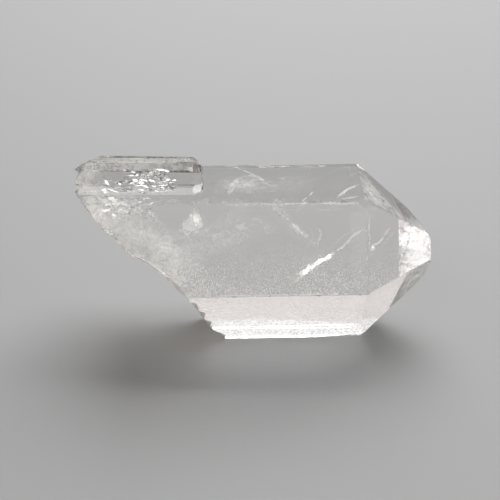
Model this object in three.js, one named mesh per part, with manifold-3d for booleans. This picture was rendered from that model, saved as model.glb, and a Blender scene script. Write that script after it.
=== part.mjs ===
// A clear quartz point lying on one of its prism faces. The crystal's long axis is +X, with the
// point at +X and an oblique break at -X. A smaller crystal with a parallel axis is grown on to its
// top, beside the break. Everything is one solid.
//
// Lengths are millimetres and +Z is up. Inside the crystal a place is given by three distances:
// "along" the axis from the shoulder, where the prism ends and the point begins; "across" the front
// face, upwards from the axis; and "out" from the axis through the front face.
import * as THREE from "three";
import { ConvexGeometry } from "three/addons/geometries/ConvexGeometry.js";
import { mergeVertices } from "three/addons/utils/BufferGeometryUtils.js";
import Module from "manifold-3d";

// Main prism: widths of three neighbouring faces, and the thickness through the front face
const FRONT_FACE = 20.5;
const TOP_FACE = 19.4;
const UNDER_FACE = 21.9;
const THICKNESS = 27.0;
const AXIS_DEPTH = 11.1;

// Angles of quartz, in degrees
const PRISM_STEP = 60;
const POINT_SLANT = 38.2;
const CORNER_SLANT = 24.4;

// Point: where its rear face starts, the small corner face, and the worn tip
const REAR_SHOULDER = 4.0;
const CORNER_DEPTH = 0.75;
const TIP = { reach: 16.0, yaw: 12 };
const TIP_TOP = { along: 13.0, across: 7.4, tilt: 32 };
const TIP_FOOT = { along: 15.6, across: -6.2, tilt: -23 };

// Narrow face worn along the foot of the under face, lower towards the break
const FOOT = { width: 3.4, turn: 288, slant: 1.5 };

// Growth steps: two down the rear and crest faces, towards the point, and two along the foot
const STEPS = [
  { turn: 180, from: -13.0, down: 0, depth: 0.4, slant: 9 },
  { turn: 120, from: -24.0, down: 0, depth: 0.3, slant: -14 },
  { turn: 300, from: -20.0, down: 10.4, depth: 0.22, slant: -89.4 },
  { turn: 300, from: -20.0, down: 11.9, depth: 0.5, slant: -90.8 },
];

// Small crystal: its faces, its shoulder and its blunt end, in the main crystal's distances
const SMALL = {
  out: 10.9,
  top: 19.5,
  foot: 14.3,
  topFace: 2.4,
  rear: 3.2,
  root: 9.0,
  shoulder: -37.4,
  end: -35.3,
  tilt: -1.8,
};

// Break: [across, along] down the front face, how it leans towards the rear, and its relief
const BREAK = [
  [-28.0, -22.0],
  [-17.5, -33.2],
  [-13.0, -36.2],
  [-6.4, -42.7],
  [-3.8, -45.2],
  [-0.4, -51.4],
  [5.5, -57.4],
  [9.0, -60.6],
  [12.4, -63.4],
  [14.4, -62.6],
  [16.4, -63.5],
  [19.2, -61.9],
  [21.0, -58.8],
  [24.0, -52.0],
];
const LEAN = { low: 0.09, high: 0.04, from: -6, to: 13 };
const LEDGE = { rise: 1.1, pitch: 5.2, turn: 0.45 };
const RIPPLE = { rise: 0.2, pitch: 2.6, across: -2.0, out: 9.0 };
const BREAK_GRID = { low: -28, high: 25, rows: 52, near: 16, deep: -18, columns: 20 };

// Chips in the edges: place, size, and stretch along the axis
const CREST_CHIPS = [
  { along: -29.2, size: 0.7, stretch: 2.1 },
  { along: -22.0, size: 0.85, stretch: 2.6 },
  { along: -16.4, size: 0.55, stretch: 1.8 },
];
const FRONT_CHIPS = [
  { along: -11.5, size: 0.45, stretch: 1.9 },
  { along: -4.6, size: 0.5, stretch: 1.6 },
];
const TIP_CHIP = { along: 15.5, across: -6.8, out: -0.4, size: 1.3, stretch: 0.8 };

const COLOUR = 0xe6e3df;
const FAR = 80;
const EPSILON = 1e-4;

const wasm = await Module();
wasm.setup();

const radians = THREE.MathUtils.degToRad;
const sine = Math.sin(radians(PRISM_STEP));
const cosine = Math.cos(radians(PRISM_STEP));

// The front face leans back so that the top face is level.
const ALONG = new THREE.Vector3(1, 0, 0);
const ACROSS = new THREE.Vector3(0, cosine, sine);
const OUT = new THREE.Vector3(0, -sine, cosine);

function place(along, across, out) {
  const point = ALONG.clone().multiplyScalar(along);
  return point.addScaledVector(ACROSS, across).addScaledVector(OUT, out);
}

// The normal of a face, turned about the axis from the front face and slanted towards the point.
function normalAt(turn, slant = 0) {
  const level = place(0, Math.sin(radians(turn)), Math.cos(radians(turn)));
  return level.multiplyScalar(Math.cos(radians(slant))).addScaledVector(ALONG, Math.sin(radians(slant)));
}

function faceThrough(point, normal) {
  return { normal, reach: normal.dot(point) };
}

function solidFrom(geometry) {
  const bare = new THREE.BufferGeometry();
  bare.setAttribute("position", geometry.getAttribute("position"));
  bare.setIndex(geometry.getIndex());
  const merged = mergeVertices(bare, EPSILON);
  const vertProperties = new Float32Array(merged.getAttribute("position").array);
  const triVerts = new Uint32Array(merged.getIndex().array);
  return new wasm.Manifold(new wasm.Mesh({ numProp: 3, vertProperties, triVerts }));
}

// The point that three faces share, or null where two of them are parallel.
function cornerOf(a, b, c) {
  const bc = new THREE.Vector3().crossVectors(b.normal, c.normal);
  const ca = new THREE.Vector3().crossVectors(c.normal, a.normal);
  const ab = new THREE.Vector3().crossVectors(a.normal, b.normal);
  const spread = a.normal.dot(bc);
  if (Math.abs(spread) < EPSILON) return null;
  const sum = bc.multiplyScalar(a.reach).addScaledVector(ca, b.reach).addScaledVector(ab, c.reach);
  return sum.divideScalar(spread);
}

// The convex solid inside a set of flat faces.
function solidInside(faces) {
  const corners = [];
  const isInside = (point) => faces.every(({ normal, reach }) => normal.dot(point) < reach + EPSILON);
  const isNew = (point) => corners.every((corner) => corner.distanceTo(point) > EPSILON * 10);
  faces.forEach((a, i) => {
    faces.slice(0, i).forEach((b, j) => {
      faces.slice(0, j).forEach((c) => {
        const corner = cornerOf(a, b, c);
        if (corner && isInside(corner) && isNew(corner)) corners.push(corner);
      });
    });
  });
  return solidFrom(new ConvexGeometry(corners));
}

// How far each prism face lies from the axis, worked out from the widths of its neighbours.
function prismSides() {
  const side = (FRONT_FACE / 2) * sine + AXIS_DEPTH * cosine;
  const opposite = (FRONT_FACE / 2) * sine - AXIS_DEPTH * cosine;
  return [
    { turn: 0, reach: AXIS_DEPTH, shoulder: 0 },
    { turn: 60, reach: side, shoulder: 0 },
    { turn: 120, reach: opposite + TOP_FACE * sine, shoulder: 0 },
    { turn: 180, reach: THICKNESS - AXIS_DEPTH, shoulder: REAR_SHOULDER },
    { turn: 240, reach: opposite + UNDER_FACE * sine, shoulder: 0 },
    { turn: 300, reach: side, shoulder: 0 },
  ];
}

// A prism face and the face of the point that rises from it.
function sideAndPoint({ turn, reach, shoulder }) {
  const edge = normalAt(turn).multiplyScalar(reach).addScaledVector(ALONG, shoulder);
  return [faceThrough(edge, normalAt(turn)), faceThrough(edge, normalAt(turn, POINT_SLANT))];
}

// The small face at the corner of the front face, the top face and the point.
function cornerFace() {
  const normal = normalAt(PRISM_STEP / 2, CORNER_SLANT);
  const corner = place(0, FRONT_FACE / 2, AXIS_DEPTH);
  return faceThrough(corner.addScaledVector(normal, -CORNER_DEPTH), normal);
}

function footFace() {
  const underEdge = place(
    0,
    -FRONT_FACE / 2 - (UNDER_FACE - FOOT.width) * cosine,
    AXIS_DEPTH - (UNDER_FACE - FOOT.width) * sine,
  );
  return faceThrough(underEdge, normalAt(FOOT.turn, FOOT.slant));
}

// The worn tip: one blunt facet, with a slanted one above it and one below it.
function tipFaces() {
  const tilted = (tilt) => place(Math.cos(radians(tilt)), Math.sin(radians(tilt)), 0);
  return [
    faceThrough(place(TIP.reach, 0, 0), normalAt(0, 90 - TIP.yaw)),
    faceThrough(place(TIP_TOP.along, TIP_TOP.across, 0), tilted(TIP_TOP.tilt)),
    faceThrough(place(TIP_FOOT.along, TIP_FOOT.across, 0), tilted(TIP_FOOT.tilt)),
  ];
}

function roughEnd() {
  return faceThrough(place(-FAR, 0, 0), ALONG.clone().negate());
}

function mainCrystal() {
  const sides = prismSides().flatMap(sideAndPoint);
  return solidInside([...sides, cornerFace(), footFace(), ...tipFaces(), roughEnd()]);
}

// The small crystal leans a little from the main one's axis, and its root is inside the main crystal.
function smallCrystal() {
  const crest = place(0, SMALL.top + SMALL.topFace * cosine, SMALL.out - SMALL.topFace * sine);
  const edges = [
    [0, place(0, SMALL.top, SMALL.out)],
    [60, place(0, SMALL.top, SMALL.out)],
    [120, crest],
    [180, place(0, 0, SMALL.rear)],
    [300, place(0, SMALL.foot, SMALL.out)],
  ];
  const sides = edges.flatMap(([turn, edge]) => {
    const end = edge.clone().addScaledVector(ALONG, SMALL.shoulder);
    return [faceThrough(edge, normalAt(turn)), faceThrough(end, normalAt(turn, POINT_SLANT))];
  });
  const root = { normal: normalAt(60).negate(), reach: -SMALL.root };
  const end = faceThrough(place(SMALL.end, 0, 0), ALONG);
  const pivot = place(SMALL.shoulder, SMALL.top, SMALL.out);
  const turned = ({ normal, reach }) => {
    const leant = normal.clone().applyAxisAngle(OUT, radians(SMALL.tilt));
    return { normal: leant, reach: reach - normal.dot(pivot) + leant.dot(pivot) };
  };
  return solidInside([...sides, end].map(turned).concat(root, roughEnd()));
}

// The profile's distance along the axis at one height across the front face.
function profileAt(across) {
  const next = BREAK.findIndex(([height]) => height > across);
  const i = next < 0 ? BREAK.length - 1 : Math.max(next, 1);
  const [low, start] = BREAK[i - 1];
  const [high, end] = BREAK[i];
  return THREE.MathUtils.mapLinear(across, low, high, start, end);
}

// The broken surface: the leaning profile with ledges that run aslant, and faint shell ripples.
function breakAt(across, out) {
  const upper = THREE.MathUtils.smoothstep(across, LEAN.from, LEAN.to);
  const lean = THREE.MathUtils.lerp(LEAN.low, LEAN.high, upper) * (out - AXIS_DEPTH);
  const sway = 0.3 * Math.sin(out / 4.3 + across / 9.1) + 0.2 * Math.sin(across / 3.1);
  const stair = (across + out * LEDGE.turn) / LEDGE.pitch + sway;
  const ledge = (stair - Math.floor(stair) - 0.5) * LEDGE.rise;
  const round = Math.hypot(across - RIPPLE.across, out - RIPPLE.out);
  const ripple = Math.sin((2 * Math.PI * round) / RIPPLE.pitch) * RIPPLE.rise;
  return profileAt(across) + lean + ledge + ripple;
}

// A block that fills the space on the sound side of the break.
function soundSide() {
  const { low, high, rows, near, deep, columns } = BREAK_GRID;
  const points = [];
  const faces = [];
  const quad = (a, b, c, d) => faces.push(a, b, c, a, c, d);
  const broken = (row, column) => row * (columns + 1) + column;
  const flat = (row, column) => broken(row, column) + (rows + 1) * (columns + 1);
  for (const isFlat of [false, true]) {
    for (let row = 0; row <= rows; row++) {
      for (let column = 0; column <= columns; column++) {
        const across = THREE.MathUtils.lerp(low, high, row / rows);
        const out = THREE.MathUtils.lerp(deep, near, column / columns);
        points.push(...place(isFlat ? FAR : breakAt(across, out), across, out));
      }
    }
  }
  for (let i = 0; i < rows; i++) {
    for (let j = 0; j < columns; j++) {
      quad(broken(i, j), broken(i, j + 1), broken(i + 1, j + 1), broken(i + 1, j));
      quad(flat(i, j), flat(i + 1, j), flat(i + 1, j + 1), flat(i, j + 1));
    }
    quad(broken(i, 0), broken(i + 1, 0), flat(i + 1, 0), flat(i, 0));
    quad(broken(i + 1, columns), broken(i, columns), flat(i, columns), flat(i + 1, columns));
  }
  for (let j = 0; j < columns; j++) {
    quad(broken(0, j + 1), broken(0, j), flat(0, j), flat(0, j + 1));
    quad(broken(rows, j), broken(rows, j + 1), flat(rows, j + 1), flat(rows, j));
  }
  const geometry = new THREE.BufferGeometry();
  geometry.setAttribute("position", new THREE.Float32BufferAttribute(points, 3));
  geometry.setIndex(faces);
  return solidFrom(geometry);
}

// A thin slab that takes a prism face down by one growth step, on one side of a slanting line.
function stepCut({ turn, from, down, depth, slant }) {
  const { reach } = prismSides().find((side) => side.turn === turn);
  const slab = new THREE.BoxGeometry(FAR, FAR, FAR);
  slab.translate(FAR / 2, 0, FAR / 2);
  slab.rotateZ(radians(slant));
  slab.applyMatrix4(new THREE.Matrix4().makeBasis(ALONG, normalAt(turn + 90), normalAt(turn)));
  const corner = normalAt(turn).multiplyScalar(reach - depth).addScaledVector(ALONG, from);
  corner.addScaledVector(normalAt(turn + 90), -down);
  slab.translate(...corner);
  return solidFrom(slab);
}

// A chip's hollow: a rough lump, stretched along the axis.
function chipCut(at, size, stretch) {
  const lump = new THREE.IcosahedronGeometry(size, 1);
  lump.rotateZ(at.x);
  lump.scale(stretch, 1, 1);
  lump.translate(...at);
  return solidFrom(lump);
}

function chips() {
  const crest = [FRONT_FACE / 2 + TOP_FACE * cosine, AXIS_DEPTH - TOP_FACE * sine];
  const front = [FRONT_FACE / 2, AXIS_DEPTH];
  const alongEdge = (list, edge) =>
    list.map(({ along, size, stretch }) => chipCut(place(along, ...edge), size, stretch));
  const { along, across, out, size, stretch } = TIP_CHIP;
  const tip = chipCut(place(along, across, out), size, stretch);
  return [...alongEdge(CREST_CHIPS, crest), ...alongEdge(FRONT_CHIPS, front), tip];
}

function crystalSolid() {
  const steps = STEPS.map(stepCut);
  const grown = steps.reduce((solid, step) => solid.subtract(step), mainCrystal());
  const whole = grown.add(smallCrystal()).intersect(soundSide());
  return chips().reduce((solid, chip) => solid.subtract(chip), whole);
}

function geometryOf(solid) {
  const { numProp, vertProperties, triVerts } = solid.getMesh();
  const geometry = new THREE.BufferGeometry();
  geometry.setAttribute("position", new THREE.BufferAttribute(vertProperties, numProp));
  geometry.setIndex(new THREE.BufferAttribute(triVerts, 1));
  return geometry;
}

// Puts the origin under the middle of the crystal, at the height of the base face.
function standOnBase(geometry) {
  geometry.computeBoundingBox();
  const { min, max } = geometry.boundingBox;
  geometry.translate(-(min.x + max.x) / 2, -(min.y + max.y) / 2, -min.z);
  geometry.computeVertexNormals();
  return geometry;
}

function clearQuartz() {
  return new THREE.MeshStandardMaterial({ color: COLOUR, roughness: 0.1, metalness: 0 });
}

const point = new THREE.Mesh(standOnBase(geometryOf(crystalSolid())), clearQuartz());
point.name = "quartz_point";

const part = new THREE.Group();
part.add(point);
export default part;
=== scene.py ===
import math
import random

import bmesh
import bpy
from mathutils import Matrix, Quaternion, Vector, noise
from mathutils.bvhtree import BVHTree

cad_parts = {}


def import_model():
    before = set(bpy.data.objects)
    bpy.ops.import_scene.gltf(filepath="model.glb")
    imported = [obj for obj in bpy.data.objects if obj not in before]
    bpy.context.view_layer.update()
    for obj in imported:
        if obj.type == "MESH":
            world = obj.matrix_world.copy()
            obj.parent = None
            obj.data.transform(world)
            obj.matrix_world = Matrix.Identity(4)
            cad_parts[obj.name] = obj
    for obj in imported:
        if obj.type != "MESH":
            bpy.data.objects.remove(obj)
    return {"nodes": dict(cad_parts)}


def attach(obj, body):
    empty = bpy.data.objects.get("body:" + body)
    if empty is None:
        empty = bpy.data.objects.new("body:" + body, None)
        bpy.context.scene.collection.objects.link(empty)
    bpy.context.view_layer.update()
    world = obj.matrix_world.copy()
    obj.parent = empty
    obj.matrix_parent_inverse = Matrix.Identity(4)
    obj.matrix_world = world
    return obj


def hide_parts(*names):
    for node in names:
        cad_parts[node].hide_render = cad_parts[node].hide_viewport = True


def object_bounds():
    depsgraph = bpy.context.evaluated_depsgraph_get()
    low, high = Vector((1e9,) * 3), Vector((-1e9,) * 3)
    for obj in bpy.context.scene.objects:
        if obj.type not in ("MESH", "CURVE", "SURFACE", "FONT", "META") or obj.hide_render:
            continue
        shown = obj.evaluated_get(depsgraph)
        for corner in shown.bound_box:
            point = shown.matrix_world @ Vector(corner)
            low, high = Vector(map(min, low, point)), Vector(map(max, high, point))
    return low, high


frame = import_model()

# Metres throughout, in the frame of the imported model: +X along the crystal towards its point, +Z up.
# Inside the crystal a place is given in millimetres by three distances: "along" the axis from the
# shoulder, "across" the front face upwards from the axis, and "out" through the front face.
MM = 0.001
CAD_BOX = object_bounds()
NODE = "quartz_point"

# Main prism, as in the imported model
FRONT_FACE, TOP_FACE, UNDER_FACE = 20.5, 19.4, 21.9
THICKNESS, AXIS_DEPTH = 27.0, 11.1
PRISM_STEP, POINT_SLANT, CORNER_SLANT = 60, 38.2, 24.4
REAR_SHOULDER, CORNER_DEPTH = 4.0, 0.75
TIP = {"reach": 16.0, "yaw": 12}
TIP_TOP = {"along": 13.0, "across": 7.4, "tilt": 32}
TIP_FOOT = {"along": 15.6, "across": -6.2, "tilt": -23}
FOOT = {"width": 3.4, "turn": 288, "slant": 1.5}

# Growth steps on the faces: where a slab is taken off, its depth and the slant of its edge
STEPS = [
    {"turn": 180, "start": -13.0, "down": 0, "depth": 0.4, "slant": 9},
    {"turn": 120, "start": -24.0, "down": 0, "depth": 0.3, "slant": -14},
    {"turn": 300, "start": -20.0, "down": 10.4, "depth": 0.22, "slant": -89.4},
    {"turn": 300, "start": -20.0, "down": 11.9, "depth": 0.5, "slant": -90.8},
]

# The small crystal: places of its faces, its shoulder and its lean
SMALL = {
    "out": 10.9,
    "top": 19.5,
    "foot": 14.3,
    "top_face": 2.4,
    "rear": 3.2,
    "root": 9.0,
    "shoulder": -37.4,
    "end": -35.3,
    "tilt": -1.8,
}

# A distance from the shoulder that is outside the crystal on every side
FAR = 80

# Break: (across, along) up the front face, its lean to the rear, and its relief
BREAK = [
    (-28.0, -22.0),
    (-17.5, -33.2),
    (-13.0, -36.2),
    (-6.4, -42.7),
    (-3.8, -45.2),
    (-0.4, -51.4),
    (5.5, -57.4),
    (9.0, -60.6),
    (12.4, -63.4),
    (14.4, -62.6),
    (16.4, -63.5),
    (19.2, -61.9),
    (21.0, -58.8),
    (24.0, -52.0),
]
LEAN = {"low": 0.09, "high": 0.04, "start": -6, "end": 13}
LEDGE = {"rise": 1.1, "pitch": 5.2, "turn": 0.45, "tread": 0.88, "riser": 0.9}
RIPPLE = {"rise": 0.16, "pitch": 2.6, "across": -2.0, "out": 9.0}
ROUGH = {"pitch": 2.0, "rise": 0.14, "sway": 0.1, "grain": 0.09}
GRID = {"low": -28, "high": 25, "near": 16, "deep": -18, "step": 0.3}

# Chips in the edges: place along the axis, size and stretch
CREST_CHIPS = [(-29.2, 0.7, 2.1), (-22.0, 0.85, 2.6), (-16.4, 0.55, 1.8)]
FRONT_CHIPS = [(-11.5, 0.45, 1.9), (-4.6, 0.5, 1.6)]
TIP_CHIP = {"at": (15.5, -6.8, -0.4), "size": 1.3, "stretch": 0.8}
SMALL_CHIPS = {"least": 0.1, "most": 0.3, "short": 1.2, "long": 3.0}
CHIP_ROUGHNESS = 0.35

# Worn edges: width of the bevel, its least share of that, and the least angle of an edge
WEAR = {"width": 0.26, "least": 0.35, "angle": 12}

# Height across the front face above which the break is frosted white
FROST = {"above": 5.5, "ragged": 3.0}

# Least distance of an inclusion from the surface
SKIN = 0.03

# Clouds: middle, two half-lengths, bulge, whiteness and seed
CLOUDS = [
    ((-46, 1, 6), (11, -8, 0), (4, 5, 2), 1.2, 0.8, 1.0),
    ((-40, -4, 2), (10, -8, 2), (3, 4, -3), 1.4, 0.7, 2.0),
    ((-50, 5, 0), (8, -5, 1), (3, 4, 4), 1.2, 0.8, 3.0),
    ((-36, 2, -2), (11, 2, 3), (2, 7, -2), 1.5, 0.5, 4.0),
    ((-28, 4, 3), (9, 3, 2), (-2, 5, 2), 1.5, 0.4, 5.0),
    ((-54, 12, 3), (7, -2, 1), (2, 5, 3), 1.0, 0.8, 6.0),
    ((-24, 13, 1), (14, 1, 1), (-1, 4, -5), 1.0, 0.5, 7.0),
]

# Clouds that follow the break: place out, from and to across, reach and whiteness
BREAK_CLOUDS = [
    (3.9, 5.5, 19.0, 6.5, 1.3),
    (7.4, 4.5, 19.0, 5.0, 1.3),
    (8.5, -12.0, 7.0, 3.0, 0.6),
    (2.0, -14.0, 7.0, 5.0, 0.6),
]

# The soft wisp through the middle, and the arc and the spoke under the top face, which are given as
# (along, distance from the front edge)
WISP = [(-20.9, 11.6, 8), (-19.4, 9.4, 7.6), (-15.4, 4.9, 6.6), (-10.6, 0.8, 6)]
ARC = [(-30.1, 2.5), (-28.6, 10.4), (-25.9, 13.8), (-23.1, 13.2), (-19.9, 7.4)]
SPOKE = [(-28.2, 18.4), (-25.6, 16.0), (-23.2, 13.4)]

# Rows of white flakes: line, number, size and seed
FLAKE_ROWS = [
    # The thick white crack
    ([(-13.9, -5.6, 6), (-11.8, -4.0, 6.6), (-9.4, -2.6, 7), (-7.0, -1.0, 7.2)], 26, 1.0, 40),
    # Crumpled white patches at the root of the small crystal, and the streak across its face
    ([(-57.5, 14.8, 7.6), (-56.6, 12.6, 7.6), (-54.7, 10.4, 7.6)], 16, 0.95, 60),
    ([(-57.0, 9.3, 7.4), (-52.8, 9.0, 7.4), (-49.2, 9.7, 7.4)], 26, 0.5, 100),
    ([(-50.6, 16.1, 8.8), (-46.5, 17.1, 8.8), (-42.8, 18.3, 8.8)], 14, 0.5, 80),
]

# Thin cracks seen edge-on: line, width, whiteness and seed
THREADS = [
    # The tails of the thick crack
    ([(-15.8, -7.6, 5.6), (-14.6, -6.4, 5.8), (-13.4, -5.2, 6.2)], 0.6, 1.6, 2),
    ([(-6.6, -0.7, 7.2), (-4.6, 0.5, 7), (-2.4, 2.8, 6.6), (0.4, 4.4, 6)], 0.6, 1.6, 3),
    # The bright thread in the wisp, and two thin cracks beside it
    ([(-18.6, 8.4, 7.4), (-15.2, 5.0, 6.6), (-12.6, 2.4, 6.2)], 0.35, 0.6, 4.5),
    ([(-10.4, 4.9, 6), (-9.6, 3.3, 6), (-10.6, 0.1, 6)], 0.4, 1.2, 5),
    ([(-12.4, 11.4, 9), (-13.2, 9.8, 8), (-13.8, 8.4, 8)], 0.5, 1.2, 6),
    # The bent crack in the point
    ([(0.9, -0.6, 6), (1.3, 0.5, 6), (3.0, 1.5, 5.4), (5.7, 4.8, 4)], 0.65, 1.8, 7),
    # The bruised edge where the point begins
    ([(1.0, 8.4, 10.1), (0.8, 5, 10.3), (0.9, 2, 10.2), (0.7, -0.6, 10.3)], 0.45, 1.6, 8),
    ([(0.2, -1, 10.7), (0.1, -4, 10.8), (0.1, -7, 10.8), (0.2, -9.8, 10.7)], 0.25, 0.7, 8.5),
    # Bruises just under the upper and lower edges of the front face
    ([(-32, 9.95, 10.95), (-20, 9.95, 10.95), (-8, 9.95, 10.95)], 0.3, 1.0, 17),
    ([(-9.4, 9.9, 10.9), (-5, 9.8, 10.9), (-1, 9.8, 10.9)], 0.55, 1.7, 18),
    ([(-36.5, -9.95, 10.95), (-20, -9.95, 10.95), (-1, -9.95, 10.95)], 0.35, 1.3, 19),
]

# White patches: middle, two half-lengths, bulge, whiteness, seed and raggedness
WHITE_PATCHES = [
    # Where the bent crack starts
    ((0.9, 0.0, 6), (0.8, 0, 0), (0.2, 1.0, 0.2), 0.2, 1.8, 7.5, 0.35),
    # The fan
    ((-38.1, 5.8, 8), (3.1, 1.2, 0), (-0.6, 2.6, 0.5), 0.2, 1.4, 11, 0.3),
    ((-37.0, 7.2, 8.4), (1.3, 1.1, 0), (-1.0, 2.7, 0.5), 0.2, 1.2, 12.3, 0.3),
    # A faint veil under the top face
    ((-26, 14.6, 2), (5, 0.6, 1), (0, 1.8, -3.4), 0.5, 0.5, 14, 0.35),
]

# Cracks under the top face: along and distance from its front edge at both ends, and width
TOP_CRACKS = [
    (-6.0, 2.2, -0.6, 8.3, 0.7),
    (-5.2, 1.4, -1.0, 2.6, 0.6),
    (-4.4, 3.8, -3.0, 7.0, 0.4),
    (-18.4, 12.2, -16.6, 12.7, 0.5),
    (-12.2, 3.0, -10.8, 5.4, 0.4),
]

# Bruises along the crest: from and to along, and width
CREST_BRUISES = [(-23.4, -19.0, 1.0), (-18.6, -15.6, 0.8), (-29.4, -27.6, 0.7), (-9.0, -7.2, 0.5)]

# Ledges along the foot: distance down the under face, and where they start
FOOT_LEDGES = [(14.4, -29), (15.6, -30), (16.9, -31)]

# Fractures: middle, half-widths, number, sizes from and to, the way they face and their grain
LEVEL, STEEP, RISING = (1, 0.1, 0), (0.55, -1, 0), (1, 0.35, 0.1)
GAP_CLUSTERS = [
    ((-49.5, 15.0, 7.2), (8.5, 3.0, 2.8), 62, (0.6, 2.2), (0.2, 0.9, 0.5), LEVEL),
    ((-48.0, 17.2, 7.6), (5.0, 0.9, 1.6), 16, (0.9, 2.6), (-0.3, 0.9, 0.4), RISING),
    ((-43.5, 15.6, 7.6), (2.6, 1.8, 2.0), 20, (0.6, 1.8), (0.3, 0.7, 0.6), LEVEL),
    ((-55.6, 13.4, 7.2), (2.4, 3.6, 1.8), 44, (0.7, 2.2), (0.3, 0.85, 0.45), STEEP),
    ((-52.8, 9.4, 6.4), (7.0, 2.4, 1.8), 120, (0.25, 0.8), (0.1, 0.7, 0.7), LEVEL),
    ((-10.3, -3.2, 6.8), (2.6, 1.2, 0.3), 26, (0.25, 0.6), (0.3, -0.5, 0.8), RISING),
]

# Clear quartz: its refraction, and the faint warm tint of deep glass
IOR = 1.544
TINT = {"colour": (0.95, 0.935, 0.92), "density": 7.0}

# Places of the three materials on the crystal
FACET, BROKEN, WORN = 0, 1, 2

SINE = math.sin(math.radians(PRISM_STEP))
COSINE = math.cos(math.radians(PRISM_STEP))
ALONG = Vector((1, 0, 0))
ACROSS = Vector((0, COSINE, SINE))
OUT = Vector((0, -SINE, COSINE))

# The normal of the top face, as (along, across, out)
TOP_NORMAL = (0, SINE, COSINE)

# The upper edge of the front face and the crest above it, as (across, out)
FRONT_EDGE = (FRONT_FACE / 2, AXIS_DEPTH)
CREST = (FRONT_FACE / 2 + TOP_FACE * COSINE, AXIS_DEPTH - TOP_FACE * SINE)


def place(along, across, out):
    """A point in millimetres, before the crystal is stood on its base."""
    return ALONG * along + ACROSS * across + OUT * out


def normal_at(turn, slant=0):
    """The normal of a face turned about the axis from the front face and slanted to the point."""
    turn, slant = math.radians(turn), math.radians(slant)
    level = place(0, math.sin(turn), math.cos(turn))
    return level * math.cos(slant) + ALONG * math.sin(slant)


def face_through(point, normal):
    """A plane as its normal and its distance from the shoulder of the axis."""
    return normal, normal.dot(point)


def frame_origin():
    """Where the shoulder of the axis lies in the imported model, read from its base face."""
    base = [v.co for v in frame["nodes"][NODE].data.vertices if v.co.z < 1e-6]
    opposite = FRONT_FACE / 2 * SINE - AXIS_DEPTH * COSINE
    height = opposite + UNDER_FACE * SINE
    out = AXIS_DEPTH - THICKNESS
    across = -(height + out * COSINE) / SINE
    back_edge = (OUT * out + ACROSS * across).y
    return Vector((max(c.x for c in base) / MM, max(c.y for c in base) / MM - back_edge, height))


ORIGIN = frame_origin()


def world(along, across, out):
    """A point of the crystal in metres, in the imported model's frame."""
    return (place(along, across, out) + ORIGIN) * MM


def new_object(name, data):
    """An object put into the scene."""
    made = bpy.data.objects.new(name, data)
    bpy.context.scene.collection.objects.link(made)
    return made


def mesh_object(name, points, faces, materials, index=0):
    """A mesh object from points in millimetres."""
    mesh = bpy.data.meshes.new(name)
    mesh.from_pydata([(p + ORIGIN) * MM for p in points], [], faces)
    for look in materials:
        mesh.materials.append(look)
    mesh.polygons.foreach_set("material_index", [index] * len(mesh.polygons))
    mesh.update()
    return new_object(name, mesh)


# Tolerances of the flat-faced solids: parallel planes, a corner inside or on a plane, and one corner twice
PARALLEL, INSIDE, ON_PLANE, SAME = 1e-5, 1e-4, 2e-4, 1e-3


def corner_of(a, b, c):
    """The point that three planes share, or None where they don't meet in one."""
    spread = a[0].dot(b[0].cross(c[0]))
    if abs(spread) < PARALLEL:
        return None
    total = b[0].cross(c[0]) * a[1] + c[0].cross(a[0]) * b[1] + a[0].cross(b[0]) * c[1]
    return total / spread


def corners_of(planes):
    """Every corner of the convex solid inside a set of planes."""
    corners = []
    for i, a in enumerate(planes):
        for j, b in enumerate(planes[:i]):
            for c in planes[:j]:
                p = corner_of(a, b, c)
                if p is None or any(n.dot(p) >= reach + INSIDE for n, reach in planes):
                    continue
                if all((p - q).length > SAME for q in corners):
                    corners.append(p)
    return corners


def flat_faced(name, planes, materials):
    """The convex solid inside a set of planes, with one polygon for each."""
    corners = corners_of(planes)
    faces = []
    for normal, reach in planes:
        on = [i for i, p in enumerate(corners) if abs(normal.dot(p) - reach) < ON_PLANE]
        if len(on) < 3:
            continue
        middle = sum((corners[i] for i in on), Vector()) / len(on)
        first = (corners[on[0]] - middle).normalized()
        second = normal.cross(first)
        rays = {i: corners[i] - middle for i in on}
        faces.append(sorted(on, key=lambda i: math.atan2(rays[i].dot(second), rays[i].dot(first))))
    return mesh_object(name, corners, faces, materials)


def join_or_cut(target, tool, operation):
    """Applies one boolean to target and removes the tool."""
    modifier = target.modifiers.new("shape", "BOOLEAN")
    modifier.operation = operation
    modifier.solver = "MANIFOLD"
    modifier.object = tool
    graph = bpy.context.evaluated_depsgraph_get()
    mesh = bpy.data.meshes.new_from_object(target.evaluated_get(graph))
    target.modifiers.clear()
    target.data = mesh
    bpy.data.objects.remove(tool)


def prism_sides():
    """Turn, distance from the axis and shoulder of each prism face."""
    side = FRONT_FACE / 2 * SINE + AXIS_DEPTH * COSINE
    opposite = FRONT_FACE / 2 * SINE - AXIS_DEPTH * COSINE
    return [
        (0, AXIS_DEPTH, 0),
        (60, side, 0),
        (120, opposite + TOP_FACE * SINE, 0),
        (180, THICKNESS - AXIS_DEPTH, REAR_SHOULDER),
        (240, opposite + UNDER_FACE * SINE, 0),
        (300, side, 0),
    ]


def rough_end():
    """A plane beyond the broken end, which the break cuts away."""
    return face_through(place(-FAR, 0, 0), -ALONG)


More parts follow.
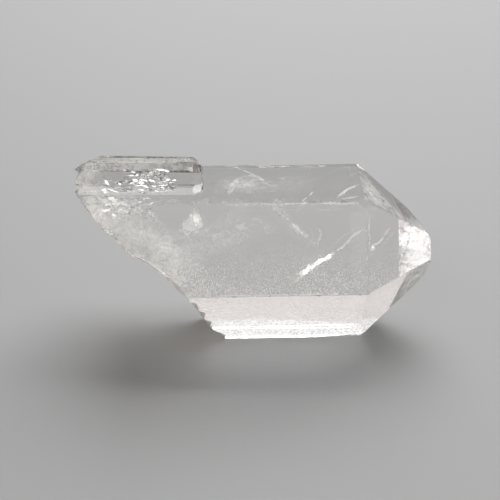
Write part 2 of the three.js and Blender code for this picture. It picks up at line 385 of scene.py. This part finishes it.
def main_crystal(materials):
    """The prism, its point, the small corner facet, the facet along the foot and the worn tip."""
    planes = []
    for turn, reach, shoulder in prism_sides():
        edge = normal_at(turn) * reach + ALONG * shoulder
        planes.append(face_through(edge, normal_at(turn)))
        planes.append(face_through(edge, normal_at(turn, POINT_SLANT)))
    corner = normal_at(PRISM_STEP / 2, CORNER_SLANT)
    planes.append(face_through(place(0, *FRONT_EDGE) - corner * CORNER_DEPTH, corner))
    rest = UNDER_FACE - FOOT["width"]
    foot_edge = place(0, -FRONT_FACE / 2 - rest * COSINE, AXIS_DEPTH - rest * SINE)
    planes.append(face_through(foot_edge, normal_at(FOOT["turn"], FOOT["slant"])))
    planes.append(face_through(place(TIP["reach"], 0, 0), normal_at(0, 90 - TIP["yaw"])))
    for worn in (TIP_TOP, TIP_FOOT):
        tilt = math.radians(worn["tilt"])
        normal = place(math.cos(tilt), math.sin(tilt), 0)
        planes.append(face_through(place(worn["along"], worn["across"], 0), normal))
    return flat_faced("crystal", planes + [rough_end()], materials)


def small_crystal(materials):
    """The small crystal on the top face, leant about its shoulder."""
    top = place(0, SMALL["top"], SMALL["out"])
    crest = top + place(0, SMALL["top_face"] * COSINE, -SMALL["top_face"] * SINE)
    edges = [
        (0, top),
        (60, top),
        (120, crest),
        (180, place(0, 0, SMALL["rear"])),
        (300, place(0, SMALL["foot"], SMALL["out"])),
    ]
    planes = [face_through(place(SMALL["end"], 0, 0), ALONG)]
    for turn, edge in edges:
        end = edge + ALONG * SMALL["shoulder"]
        planes.append(face_through(edge, normal_at(turn)))
        planes.append(face_through(end, normal_at(turn, POINT_SLANT)))
    pivot = place(SMALL["shoulder"], SMALL["top"], SMALL["out"])
    lean = Quaternion(OUT, math.radians(SMALL["tilt"]))
    leant = [(lean @ n, reach - n.dot(pivot) + (lean @ n).dot(pivot)) for n, reach in planes]
    root = (-normal_at(60), -SMALL["root"])
    return flat_faced("small", leant + [rough_end(), root], materials)


def between(value, low, high):
    """A smooth rise from 0 at low to 1 at high."""
    share = min(max((value - low) / (high - low), 0), 1)
    return share * share * (3 - 2 * share)


def profile_at(across):
    """How far along the break lies at a height across the front face."""
    i = next((i for i, (height, _) in enumerate(BREAK) if height > across), len(BREAK) - 1)
    (low, start), (high, end) = BREAK[max(i, 1) - 1], BREAK[max(i, 1)]
    return start + (across - low) / (high - low) * (end - start)


def break_at(across, out):
    """The broken surface: a leaning profile with ledges, shell ripples and fine roughness."""
    upper = between(across, LEAN["start"], LEAN["end"])
    lean = (LEAN["low"] * (1 - upper) + LEAN["high"] * upper) * (out - AXIS_DEPTH)
    sway = 0.3 * math.sin(out / 4.3 + across / 9.1) + 0.2 * math.sin(across / 3.1)
    stair = (across + out * LEDGE["turn"]) / LEDGE["pitch"] + sway
    fine = noise.fractal(Vector((across / ROUGH["pitch"], out / ROUGH["pitch"], 3.7)), 0.9, 2.1, 4)
    stair += ROUGH["sway"] * fine
    step = stair - math.floor(stair)
    ledge = between(step, 0, LEDGE["tread"]) - between(step, LEDGE["riser"], 1) - 0.5
    from_middle = math.hypot(across - RIPPLE["across"], out - RIPPLE["out"])
    ripple = math.sin(2 * math.pi * from_middle / RIPPLE["pitch"] + fine) * RIPPLE["rise"]
    grain = ROUGH["grain"] * noise.noise(Vector((across * 2.2, out * 2.2, 9.0)))
    return profile_at(across) + lean + ledge * LEDGE["rise"] + ripple + ROUGH["rise"] * fine + grain


def break_points(rows, columns):
    """A grid of points on the broken surface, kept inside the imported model's box."""
    least = CAD_BOX[0][0] / MM - ORIGIN.x
    points = []
    for i in range(rows + 1):
        across = GRID["low"] + i * GRID["step"]
        for j in range(columns + 1):
            out = GRID["deep"] + j * GRID["step"]
            p = place(break_at(across, out), across, out)
            points.append(Vector((max(p.x, least), p.y, p.z)))
    return points


def sound_side(materials):
    """A block that fills the space on the sound side of the break."""
    rows = round((GRID["high"] - GRID["low"]) / GRID["step"])
    columns = round((GRID["near"] - GRID["deep"]) / GRID["step"])
    points = break_points(rows, columns)
    corners = [len(points) + k for k in range(4)]
    low, deep = GRID["low"], GRID["deep"]
    high, near = low + rows * GRID["step"], deep + columns * GRID["step"]
    points += [place(FAR, *corner) for corner in ((low, deep), (low, near), (high, near), (high, deep))]

    def at(i, j):
        return i * (columns + 1) + j

    faces = []
    for i in range(rows):
        for j in range(columns):
            faces.append((at(i, j), at(i, j + 1), at(i + 1, j + 1), at(i + 1, j)))
    sides = [
        ([at(0, j) for j in range(columns + 1)], corners[1], corners[0]),
        ([at(i, columns) for i in range(rows + 1)], corners[2], corners[1]),
        ([at(rows, j) for j in range(columns, -1, -1)], corners[3], corners[2]),
        ([at(i, 0) for i in range(rows, -1, -1)], corners[0], corners[3]),
    ]
    faces += [tuple(reversed(edge)) + (b, a) for edge, a, b in sides]
    faces.append(tuple(corners))
    block = mesh_object("sound_side", points, faces, materials, BROKEN)
    shape = bmesh.new()
    shape.from_mesh(block.data)
    bmesh.ops.recalc_face_normals(shape, faces=shape.faces)
    shape.to_mesh(block.data)
    shape.free()
    return block


def step_cut(step, materials):
    """A thin slab that takes a prism face down by one growth step, on one side of a slanting line."""
    reach = next(r for turn, r, _ in prism_sides() if turn == step["turn"])
    up, side = normal_at(step["turn"]), normal_at(step["turn"] + 90)
    slant = math.radians(step["slant"])
    x = ALONG * math.cos(slant) + side * math.sin(slant)
    y = side * math.cos(slant) - ALONG * math.sin(slant)
    corner = up * (reach - step["depth"]) + ALONG * step["start"] - side * step["down"]
    planes = [face_through(corner, -x), face_through(corner, -up)]
    planes += [face_through(corner + x * FAR, x), face_through(corner + up * FAR, up)]
    planes += [face_through(corner + y * FAR / 2, y), face_through(corner - y * FAR / 2, -y)]
    return flat_faced("step", planes, materials)


def chip(at, size, stretch, seed, materials):
    """A chip's hollow: a rough ball, stretched along the axis."""
    ball = bmesh.new()
    bmesh.ops.create_icosphere(ball, subdivisions=2, radius=1)
    ball.verts.index_update()
    points = []
    for vertex in ball.verts:
        rough = size * (1 + CHIP_ROUGHNESS * noise.noise(vertex.co * 1.9 + Vector((seed, 0, 0))))
        points.append(at + Vector((vertex.co.x * stretch, vertex.co.y, vertex.co.z)) * rough)
    faces = [tuple(v.index for v in face.verts) for face in ball.faces]
    ball.free()
    return mesh_object("chip", points, faces, materials, WORN)


def edge_lines():
    """The edges where small chips gather, each as two ends and a number of chips."""
    half = FRONT_FACE / 2
    upper_tip, lower_tip = place(14.6, 3.4, 1.6), place(12.6, -5.4, 1.2)
    return [
        (place(-36, *CREST), place(-1, *CREST), 8),
        (place(-56, *FRONT_EDGE), place(-1, *FRONT_EDGE), 8),
        (place(-38, -half, AXIS_DEPTH), place(0, -half, AXIS_DEPTH), 5),
        (place(1, half - 1, AXIS_DEPTH), upper_tip, 5),
        (place(0, -half, AXIS_DEPTH), lower_tip, 3),
    ]


def chips(materials):
    """The large chips where the photograph shows them, and small ones scattered along the edges."""
    made = [chip(place(*TIP_CHIP["at"]), TIP_CHIP["size"], TIP_CHIP["stretch"], 1, materials)]
    for edge, places in ((CREST, CREST_CHIPS), (FRONT_EDGE, FRONT_CHIPS)):
        for along, size, stretch in places:
            made.append(chip(place(along, *edge), size, stretch, along, materials))
    chance = random.Random(7)
    for start, end, count in edge_lines():
        for i in range(count):
            at = start.lerp(end, (i + chance.uniform(0.1, 0.9)) / count)
            size = chance.uniform(SMALL_CHIPS["least"], SMALL_CHIPS["most"])
            stretch = chance.uniform(SMALL_CHIPS["short"], SMALL_CHIPS["long"])
            made.append(chip(at, size, stretch, i + 20, materials))
    return made


def wear_edges(crystal):
    """Gives the edges between two growth faces a narrow worn bevel of uneven width."""
    shape = bmesh.new()
    shape.from_mesh(crystal.data)
    weight = shape.edges.layers.float.new("bevel_weight_edge")
    for edge in shape.edges:
        both = [f.material_index for f in edge.link_faces]
        if both == [FACET, FACET] and edge.calc_face_angle(0) > math.radians(WEAR["angle"]):
            share = abs(noise.noise(edge.verts[0].co / MM * 0.7))
            edge[weight] = WEAR["least"] + (1 - WEAR["least"]) * share
    shape.to_mesh(crystal.data)
    shape.free()
    bevel = crystal.modifiers.new("worn", "BEVEL")
    bevel.limit_method = "WEIGHT"
    bevel.width = WEAR["width"] * MM
    bevel.segments = 2
    bevel.material = WORN
    graph = bpy.context.evaluated_depsgraph_get()
    mesh = bpy.data.meshes.new_from_object(crystal.evaluated_get(graph))
    crystal.modifiers.clear()
    crystal.data = mesh


def material(name, colour, roughness):
    """A new material, its node tree and its shader."""
    made = bpy.data.materials.new(name)
    made.use_nodes = True
    shader = made.node_tree.nodes["Principled BSDF"]
    shader.inputs["Base Color"].default_value = (*colour, 1)
    shader.inputs["Roughness"].default_value = roughness
    return made, made.node_tree, shader


def node(tree, kind, inputs=None, **settings):
    """A shader node, its plain settings, and its inputs: values, or another node's sockets."""
    made = tree.nodes.new(kind)
    for name, value in settings.items():
        setattr(made, name, value)
    for name, value in (inputs or {}).items():
        if isinstance(value, bpy.types.NodeSocket):
            tree.links.new(value, made.inputs[name])
        else:
            made.inputs[name].default_value = value
    return made


def coordinates(tree):
    """The place on the object, in its own metres."""
    return node(tree, "ShaderNodeTexCoord").outputs["Object"]


def noise_at(tree, scale, detail, roughness=0.5, distortion=0.0):
    """A noise texture in the object's own metres."""
    made = node(
        tree,
        "ShaderNodeTexNoise",
        {
            "Vector": coordinates(tree),
            "Scale": scale,
            "Detail": detail,
            "Roughness": roughness,
            "Distortion": distortion,
        },
    )
    return made.outputs["Fac"]


def ranged(tree, value, low, high, start=0.0, end=1.0):
    """A value between low and high carried over to between start and end."""
    made = node(
        tree,
        "ShaderNodeMapRange",
        {"Value": value, "From Min": low, "From Max": high, "To Min": start, "To Max": end},
    )
    return made.outputs["Result"]


def math_of(tree, operation, first, second):
    """The result of one operation on two values."""
    made = node(tree, "ShaderNodeMath", {0: first, 1: second}, operation=operation)
    return made.outputs["Value"]


def share_across(tree, low, high):
    """A ramp from 0 to 1 between two heights across the front face."""
    axis = tuple(ACROSS)
    dot = node(tree, "ShaderNodeVectorMath", {0: coordinates(tree), 1: axis}, operation="DOT_PRODUCT")
    zero = ORIGIN.dot(ACROSS)
    return ranged(tree, dot.outputs["Value"], (zero + low) * MM, (zero + high) * MM)


def see_through(shader, share=1):
    """Lets light through the shader, bent as quartz bends it."""
    shader.inputs["Transmission Weight"].default_value = share
    shader.inputs["IOR"].default_value = IOR


def tinted(tree):
    """Fills the material's inside with the tint of deep quartz."""
    tint = {"Color": (*TINT["colour"], 1), "Density": TINT["density"]}
    volume = node(tree, "ShaderNodeVolumeAbsorption", tint)
    tree.links.new(volume.outputs["Volume"], tree.nodes["Material Output"].inputs["Volume"])


def bumped(tree, shader, height, distance):
    """Gives the shader a fine relief, a distance in millimetres high."""
    bump = node(tree, "ShaderNodeBump", {"Height": height, "Distance": distance * MM, "Strength": 1.0})
    tree.links.new(bump.outputs["Normal"], shader.inputs["Normal"])


def quartz_material():
    """Growth faces: glossy, faintly wavy, with etched pits low on the front."""
    made, tree, shader = material("clear_quartz", (0.99, 0.985, 0.978), 0.02)
    pits = ranged(tree, noise_at(tree, 1500, 3.0, 0.6), 0.56, 0.66)
    low = share_across(tree, 4.0, -9.0)
    waves = ranged(tree, noise_at(tree, 90, 2.0), 0.2, 0.8, 0.0, 0.5)
    height = math_of(tree, "SUBTRACT", waves, math_of(tree, "MULTIPLY", pits, low))
    bumped(tree, shader, height, 0.016)
    hazed = ranged(tree, noise_at(tree, 160, 4.0, 0.6), 0.5, 0.75, 0.01, 0.08)
    tree.links.new(hazed, shader.inputs["Roughness"])
    see_through(shader)
    tinted(tree)
    return made


def broken_material():
    """The broken surface: frosted, with glossier ledge treads."""
    made, tree, shader = material("broken_quartz", (0.99, 0.985, 0.975), 0.35)
    frost = ranged(tree, noise_at(tree, 420, 5.0, 0.65), 0.35, 0.65, 0.16, 0.6)
    tree.links.new(frost, shader.inputs["Roughness"])
    bumped(tree, shader, noise_at(tree, 1100, 6.0, 0.7), 0.12)
    see_through(shader)
    tinted(tree)
    return made


def milky_material(name, scale, low, high):
    """White inclusions and painted highlights: light scatters from their face and comes through from
    behind.
    """
    milky = (0.97, 0.96, 0.94)
    made, tree, shader = material(name, milky, 0.9)
    tree.nodes.remove(shader)
    whiteness = node(tree, "ShaderNodeAttribute", attribute_name="whiteness").outputs["Fac"]
    grain = ranged(tree, noise_at(tree, scale, 6.0, 0.62, 0.4), low, high)
    cover = math_of(tree, "MULTIPLY", whiteness, grain)
    lit = node(tree, "ShaderNodeBsdfDiffuse", {"Color": (*milky, 1)})
    through = node(tree, "ShaderNodeBsdfTranslucent", {"Color": (*milky, 1)})
    clear = node(tree, "ShaderNodeBsdfTransparent")
    white = node(tree, "ShaderNodeAddShader", {0: lit.outputs[0], 1: through.outputs[0]})
    mixed = node(tree, "ShaderNodeMixShader", {0: cover, 1: clear.outputs[0], 2: white.outputs[0]})
    tree.links.new(mixed.outputs[0], tree.nodes["Material Output"].inputs["Surface"])
    return made


def worn_material():
    """Bruised edges and chips: white, where light no longer passes cleanly."""
    made, tree, shader = material("worn_quartz", (0.97, 0.965, 0.955), 0.55)
    bumped(tree, shader, noise_at(tree, 1600, 5.0, 0.7), 0.1)
    see_through(shader, 0.55)
    tinted(tree)
    return made


def frost_break(crystal):
    """The upper end of the break is frosted white, with a ragged limit."""
    for face in crystal.data.polygons:
        if face.material_index == BROKEN:
            at = face.center / MM - ORIGIN
            limit = FROST["above"] + FROST["ragged"] * noise.fractal(at * 0.45, 1.0, 2.0, 3)
            if at.dot(ACROSS) > limit:
                face.material_index = WORN


def build_crystal():
    """The growth faces and steps, the small crystal, the chips, the break and the worn edges."""
    materials = [quartz_material(), broken_material(), worn_material()]
    crystal = main_crystal(materials)
    for step in STEPS:
        join_or_cut(crystal, step_cut(step, materials), "DIFFERENCE")
    join_or_cut(crystal, small_crystal(materials), "UNION")
    for hollow in chips(materials):
        join_or_cut(crystal, hollow, "DIFFERENCE")
    join_or_cut(crystal, sound_side(materials), "INTERSECT")
    frost_break(crystal)
    wear_edges(crystal)
    crystal.name = "quartz_crystal"
    return crystal


def smooth_line(points, step=0.25):
    """A polyline in millimetres resampled at an even step, with its corners rounded."""
    points = [Vector(p) for p in points]
    ends = [points[0] * 2 - points[1], *points, points[-1] * 2 - points[-2]]
    line = []
    for a, b, c, d in zip(ends, ends[1:], ends[2:], ends[3:]):
        count = max(2, round((c - b).length / step))
        for i in range(count):
            t = i / count
            curve = 2 * b + (c - a) * t + (2 * a - 5 * b + 4 * c - d) * t**2
            line.append((curve + (3 * b - a - 3 * c + d) * t**3) / 2)
    return line + [points[-1]]


def soft_ends(share, fade=0.12):
    """Rises from 0 to 1 at the start of a share and falls back to 0 at its end."""
    return between(share, 0, fade) * (1 - between(share, 1 - fade, 1))


class Inclusions:
    """Thin sheets inside the crystal, gathered into one mesh with a whiteness at each point."""

    def __init__(self):
        self.points, self.faces, self.whiteness = [], [], []

    def grid(self, rows, columns, at):
        """A sheet of points, each with its whiteness as the function gives them for both shares."""
        first = len(self.points)
        for i in range(rows + 1):
            for j in range(columns + 1):
                point, whiteness = at(i / rows, j / columns)
                self.points.append(place(*point))
                self.whiteness.append(whiteness)
        for i in range(rows):
            for j in range(columns):
                a = first + i * (columns + 1) + j
                self.faces.append((a, a + 1, a + columns + 2, a + columns + 1))

    def patch(self, middle, u, v, bulge, whiteness, seed, ragged=0.35, steps=26):
        """A soft-edged sheet with half-lengths u and v, all in (along, across, out)."""
        middle, u, v = Vector(middle), Vector(u), Vector(v)
        normal = u.cross(v).normalized()
        spread = max(u.length, v.length)

        def at(s, t):
            x, y = s * 2 - 1, t * 2 - 1
            lump = noise.fractal(Vector((x * 1.3 + seed, y * 1.3, seed)), 1.0, 2.0, 4)
            edge = math.hypot(x, y) + ragged * noise.fractal(Vector((x * 2, y * 2 + seed, 5)), 1, 2, 3)
            point = middle + u * x + v * y + normal * (bulge * lump + 0.12 * spread * (x * x - y * y))
            return point, whiteness * (1 - between(edge, 0.35, 0.95))

        self.grid(steps, steps, at)

    def ribbon(self, points, width, whiteness, seed, lean=(0, 0, 1)):
        """A narrow band along a line, like a crack seen nearly edge-on."""
        line = smooth_line(points)
        rows = len(line) - 1

        def at(s, t):
            i = round(s * rows)
            way = (line[min(i + 1, rows)] - line[max(i - 1, 0)]).normalized()
            side = way.cross(Vector(lean)).normalized()
            taper = min(1.0, 4 * s + 0.25, 4 * (1 - s) + 0.25)
            rough = 1 + 0.7 * noise.fractal(Vector((i * 0.35, seed, t * 2)), 1, 2, 3)
            x = t * 2 - 1
            point = line[i] + side * (x * width / 2 * taper * rough) + Vector(lean) * 0.2 * x * width
            return point, whiteness * (1 - abs(x) ** 3) * taper

        self.grid(rows, 6, at)

    def sheet(self, corner, u, v, whiteness, rows=40, columns=12):
        """A flat sheet from a corner along u and v, whose whiteness is a function of both shares."""
        corner, u, v = Vector(corner), Vector(u), Vector(v)
        self.grid(rows, columns, lambda s, t: (corner + u * s + v * t, whiteness(s, t)))

    def along_break(self, out, low, high, reach, whiteness):
        """A sheet that starts just inside the broken surface and fades with the distance from it."""

        def at(s, t):
            across = low + (high - low) * s
            away = 0.25 + reach * t
            lump = noise.fractal(Vector((across * 0.5, away * 0.4, out)), 1.0, 2.0, 3)
            point = (break_at(across, out) + away, across, out + 0.3 * lump)
            return point, whiteness * soft_ends(s) * (1 - between(t + 0.25 * lump, 0.3, 1.0))

        self.grid(40, 20, at)

    def build(self, name, material):
        mesh = bpy.data.meshes.new(name)
        mesh.from_pydata([(p + ORIGIN) * MM for p in self.points], [], self.faces)
        layer = mesh.attributes.new("whiteness", "FLOAT", "POINT")
        layer.data.foreach_set("value", self.whiteness)
        mesh.materials.append(material)
        mesh.polygons.foreach_set("use_smooth", [True] * len(mesh.polygons))
        mesh.update()
        return new_object(name, mesh)


def keep_inside(piece, crystal, whole=False):
    """Deletes what reaches out of the crystal: single points, or every loose part that has one."""
    solid, shape = bmesh.new(), bmesh.new()
    solid.from_mesh(crystal.data)
    shape.from_mesh(piece.data)
    skin = BVHTree.FromBMesh(solid)
    outside = set()
    for vertex in shape.verts:
        nearest, normal, _, _ = skin.find_nearest(vertex.co)
        if (vertex.co - nearest).dot(normal) > -SKIN * MM:
            outside.add(vertex)
    waiting = list(outside) if whole else []
    while waiting:
        vertex = waiting.pop()
        others = {edge.other_vert(vertex) for edge in vertex.link_edges} - outside
        outside |= others
        waiting += others
    bmesh.ops.delete(shape, geom=list(outside), context="VERTS")
    shape.to_mesh(piece.data)
    solid.free()
    shape.free()
    return piece


def in_crystal(vector):
    """A vector as its distances along, across and out."""
    return Vector((vector.dot(ALONG), vector.dot(ACROSS), vector.dot(OUT)))


def under_face(down, depth):
    """Across and out of a point a little inside the under face, at a distance from its upper edge."""
    across = -FRONT_FACE / 2 - down * COSINE + depth * SINE
    return across, AXIS_DEPTH - down * SINE - depth * COSINE


def top_face(distance, depth):
    """Across and out of a point a little inside the top face, at a distance from its front edge."""
    across = FRONT_FACE / 2 + distance * COSINE - depth * SINE
    return across, AXIS_DEPTH - distance * SINE - depth * COSINE


def top_line(line, depth):
    """A line a little inside the top face, from its places (along, distance from the front edge)."""
    return [(along, *top_face(distance, depth)) for along, distance in line]


def build_haze_and_painted_highlight():
    """Milky clouds that thicken towards the break, soft bands and arcs in the clear part, and a painted
    highlight under the point's top face.
    """
    haze = Inclusions()
    for middle, u, v, bulge, whiteness, seed in CLOUDS:
        haze.patch(middle, u, v, bulge, whiteness, seed)
    for out, low, high, reach, whiteness in BREAK_CLOUDS:
        haze.along_break(out, low, high, reach, whiteness)
    haze.ribbon(WISP, 2.0, 0.75, 4)
    haze.ribbon(top_line(ARC, 0.6), 1.8, 0.85, 12, TOP_NORMAL)

    def cloudy(s, t):
        return 1.3 * soft_ends(s) * soft_ends(t, 0.3)

    # Cloudy band under the upper edge of the small crystal
    haze.sheet((-59.0, 17.9, 10.2), (20.5, -0.65, 0), (0, 2.1, 0), cloudy)

    # Whiteness of the painted highlight on the point's top face
    def pale(s, t):
        return 1.3 * soft_ends(t) * (1 - between(s + t, 0.75, 1.0))

    # Painted highlight: a white sheet just under the top face of the point makes it paler than the prism
    slope = normal_at(60, POINT_SLANT)
    corner = in_crystal(place(0.3, *FRONT_EDGE) - slope * 0.4)
    haze.sheet(corner, (13, -6.6, -9), (0, 9.7, -16.8), pale, 30, 30)
    return haze.build("milky_haze_and_painted_highlight", milky_material("milky_haze_and_painted_highlight", 420, 0.3, 0.85))


def build_speckle():
    """Fine white pits just under the lower half of the front face, and on over the point's front face."""
    speckle = Inclusions()
    depth = 0.12
    edge = -FRONT_FACE / 2

    def low(s, t):
        return between(s, 0, 0.05) * (1 - between(t, 0.0, 1.0))

    def across_front(s, t):
        across = edge + 0.3 + 15 * t
        start = profile_at(across) + 0.8
        return (start + (-0.1 - start) * s, across, AXIS_DEPTH - depth), low(s, t)

    speckle.grid(40, 20, across_front)
    # The front face of the point, where they lie a little deeper
    front = normal_at(0, POINT_SLANT)
    u = place(1, 0, -math.tan(math.radians(POINT_SLANT)))
    corner = place(0.3, edge + 0.6, AXIS_DEPTH) - front * 3 * depth
    speckle.sheet(in_crystal(corner), in_crystal(u * 8), (1.2, 12, -1), low)
    return speckle.build("etched_speckle", milky_material("etched_speckle", 3600, 0.5, 0.6))


class Fractures:
    """Thin closed gaps inside the crystal, whose walls face into the gap and flash like films of air."""

    def __init__(self, seed):
        self.points, self.faces = [], []
        self.chance = random.Random(seed)

    def flake(self, middle, facing, grain, size, gap=0.03):
        """One ragged lens-shaped gap, in (along, across, out), stretched along its grain."""
        chance = self.chance
        facing = Vector(facing).normalized()
        v = facing.cross(Vector(grain)).normalized()
        u = v.cross(facing)
        u.rotate(Quaternion(facing, chance.gauss(0, 0.25)))
        v = facing.cross(u)
        first, rim = len(self.points), 9
        width = size * chance.uniform(0.18, 0.5)
        for i in range(rim):
            turn = 2 * math.pi * i / rim
            reach = chance.uniform(0.65, 1.1)
            warp = facing * chance.uniform(-0.1, 0.1) * size
            point = u * (math.cos(turn) * size * reach) + v * (math.sin(turn) * width * reach)
            self.points.append(place(*(Vector(middle) + point + warp)))
        for side in (1, -1):
            self.points.append(place(*(Vector(middle) + facing * side * gap)))
        for i in range(rim):
            a, b = first + i, first + (i + 1) % rim
            self.faces += [(b, a, first + rim), (a, b, first + rim + 1)]

    def cluster(self, middle, reach, count, sizes, facing, grain):
        """Flakes scattered in a block, most of them near its middle, facing roughly one way."""
        chance = self.chance
        for _ in range(count):
            at = [m + r * chance.triangular(-1, 1, 0) for m, r in zip(middle, reach)]
            way = Vector(facing) + Vector(tuple(chance.gauss(0, 0.45) for _ in range(3)))
            self.flake(at, way, grain, chance.uniform(*sizes))

    def build(self, name, materials):
        return mesh_object(name, self.points, self.faces, materials)


def gap_material():
    """The walls of the gaps: clear, without the tint of the quartz around them."""
    made, tree, shader = material("fracture_film", (1, 1, 1), 0.03)
    see_through(shader)
    bumped(tree, shader, noise_at(tree, 900, 4.0, 0.6), 0.06)
    return made


def build_fractures():
    """Flashing fractures in the small crystal and its root, and along the thick crack."""
    gaps = Fractures(3)
    for middle, reach, count, sizes, facing, grain in GAP_CLUSTERS:
        gaps.cluster(middle, reach, count, sizes, facing, grain)
    return gaps.build("inner_fractures", [gap_material()])


def flakes_along(veils, line, count, size, seed):
    """Ragged white flakes in a row, like a crack that opens and closes."""
    chance = random.Random(seed)
    route = smooth_line(line)
    for i in range(count):
        at = route[min(len(route) - 1, int((i + chance.random()) / count * len(route)))]
        way = Vector((0.75, 0.62, chance.uniform(-0.3, 0.3)))
        tilt = Vector((-0.4, 0.5, chance.uniform(-0.6, 0.6)))
        aside = Vector((chance.gauss(0, 0.15), chance.gauss(0, 0.2), 0))
        way *= size * chance.uniform(0.6, 1.3)
        tilt *= size * chance.uniform(0.5, 1.0)
        veils.patch(at + aside, way, tilt, 0.1, 1.6, seed + i, ragged=0.5, steps=8)


def face_veils(veils):
    """Cracks, bruises and growth lines just under the prism's faces."""
    shallow, deep, by_crest = 0.35, 0.7, 18.5
    for along, distance, far_along, far_distance, width in TOP_CRACKS:
        middle = (along * 0.5 + far_along * 0.5, *top_face(distance * 0.35 + far_distance * 0.65, deep))
        start = (along, *top_face(distance, shallow))
        end = (far_along, *top_face(far_distance, shallow))
        veils.ribbon([start, middle, end], width, 1.6, 9 + along)
    veils.ribbon(top_line(SPOKE, 0.5), 0.7, 0.8, 13, TOP_NORMAL)
    for start, end, width in CREST_BRUISES:
        bruise = [(along, by_crest) for along in (start, start * 0.5 + end * 0.5, end)]
        veils.ribbon(top_line(bruise, 0.45), width, 1.7, start, TOP_NORMAL)
    for down, start in FOOT_LEDGES:
        line = [(along, *under_face(down, 0.14)) for along in (start, -20, -10, -1)]
        veils.ribbon(line, 0.35, 0.8, down, (0, 0.87, -0.5))


def build_veils_and_painted_highlight():
    """Bright cracks, white patches and bruised edges, and a painted highlight under the small crystal's
    top face.
    """
    veils = Inclusions()
    for line, count, size, seed in FLAKE_ROWS:
        flakes_along(veils, line, count, size, seed)
    for line, width, whiteness, seed in THREADS:
        veils.ribbon(line, width, whiteness, seed)
    for middle, u, v, bulge, whiteness, seed, ragged in WHITE_PATCHES:
        veils.patch(middle, u, v, bulge, whiteness, seed, ragged)
    face_veils(veils)
    # Painted highlight: a pale strip under the small crystal's top face, standing in for the brightness
    # that face reflects
    strip = [(-59.5, 20.4, 9.6), (-52, 20.2, 9.6), (-45, 19.9, 9.6), (-39.5, 19.7, 9.6)]
    veils.ribbon(strip, 1.5, 1.4, 15, (0, 0.5, -0.87))
    # The short crack under the point's top face
    slope = in_crystal(normal_at(60, POINT_SLANT))
    veils.ribbon([(1.0, 14.2, 1.5), (2.0, 11.6, 4.5), (3.4, 9.6, 5.7)], 0.5, 1.7, 16, tuple(slope))
    return veils.build("bright_veils_and_painted_highlight", milky_material("bright_veils_and_painted_highlight", 900, 0.28, 0.6))


# The floor lies a hair under the base, so that the two surfaces don't coincide.
FLOOR_GAP = 0.03


def build_floor():
    """A pale floor, far larger than the view."""
    mesh = bpy.data.meshes.new("floor")
    half, level = 3.0, -FLOOR_GAP * MM
    corners = [(-half, -half, level), (half, -half, level), (half, half, level), (-half, half, level)]
    mesh.from_pydata(corners, [], [(0, 1, 2, 3)])
    made, _, _ = material("pale_floor", (0.4, 0.4, 0.4), 0.6)
    mesh.materials.append(made)
    floor = new_object("floor", mesh)


# The camera looks straight at the front face: the photograph's view is about 30 degrees down.
# Its place is in millimetres, its frame and focal length are in pixels and its roll is in degrees.
VIEW_MIDDLE = (-25.3, 0.0)
VIEW_DISTANCE = 222
FRAME_PIXELS, FOCAL_PIXELS = 500, 1018
SENSOR = 36
ROLL = -1.0
NEAREST_SEEN = 5


def build_camera():
    """The camera in the photograph's place."""
    data = bpy.data.cameras.new("camera")
    data.sensor_width = SENSOR
    data.lens = SENSOR * FOCAL_PIXELS / FRAME_PIXELS
    data.clip_start = NEAREST_SEEN * MM
    camera = new_object("camera", data)
    camera.location = world(*VIEW_MIDDLE, AXIS_DEPTH + VIEW_DISTANCE)
    facing = OUT.to_track_quat("Z", "Y") @ Quaternion((0, 0, 1), math.radians(ROLL))
    camera.rotation_euler = facing.to_euler()
    bpy.context.scene.camera = camera


# Light panels: azimuth from the front to the right, elevation, distance and size in metres, power
# in watts and colour.
# The low ones behind are what the faces at the foot mirror and bend into view.
WHITE = (1, 1, 1)
LIGHTS = [
    ("back", 165, 52, 0.8, (0.8, 0.6), 7, WHITE),
    ("low_back", 180, 5.3, 0.8, (1.3, 0.096), 0.38, WHITE),
    ("low_back_upper", 180, 10.7, 0.8, (1.3, 0.055), 0.15, (1, 0.9, 0.88)),
    ("back_rise", 180, 15.5, 0.8, (1.3, 0.08), 0.13, WHITE),
    ("right", 100, 9, 0.8, (0.6, 0.3), 0.22, WHITE),
    ("fill", -40, 45, 0.9, (0.6, 0.6), 1.0, WHITE),
    ("left", -100, 12, 0.7, (0.5, 0.3), 0.8, (0.93, 0.92, 1.0)),
]
LIGHT_AIM = Vector((0, 0, 0.02))
SKY = {"colour": (0.8, 0.8, 0.8), "strength": 0.22}


def area_light(name, azimuth, elevation, distance, size, power, colour):
    """A soft light panel that faces the crystal."""
    data = bpy.data.lights.new(name, "AREA")
    data.shape = "RECTANGLE"
    data.size, data.size_y = size
    data.energy = power
    data.color = colour
    light = new_object(name, data)
    a, e = math.radians(azimuth), math.radians(elevation)
    way = Vector((math.sin(a) * math.cos(e), -math.cos(a) * math.cos(e), math.sin(e)))
    light.location = way * distance + LIGHT_AIM
    light.rotation_euler = way.to_track_quat("Z", "Y").to_euler()
    light.visible_camera = False


def build_light():
    """An even sky and the light panels."""
    sky = bpy.data.worlds.new("studio")
    bpy.context.scene.world = sky
    sky.use_nodes = True
    background = sky.node_tree.nodes["Background"]
    background.inputs["Color"].default_value = (*SKY["colour"], 1)
    background.inputs["Strength"].default_value = SKY["strength"]
    for light in LIGHTS:
        area_light(*light)
    bpy.context.scene.view_settings.view_transform = "Standard"


build_camera()
build_floor()
build_light()
crystal = build_crystal()
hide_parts(NODE)
inclusions = [keep_inside(piece, crystal) for piece in (build_haze_and_painted_highlight(), build_speckle(), build_veils_and_painted_highlight())]
inclusions.append(keep_inside(build_fractures(), crystal, whole=True))
for piece in (crystal, *inclusions):
    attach(piece, "root")
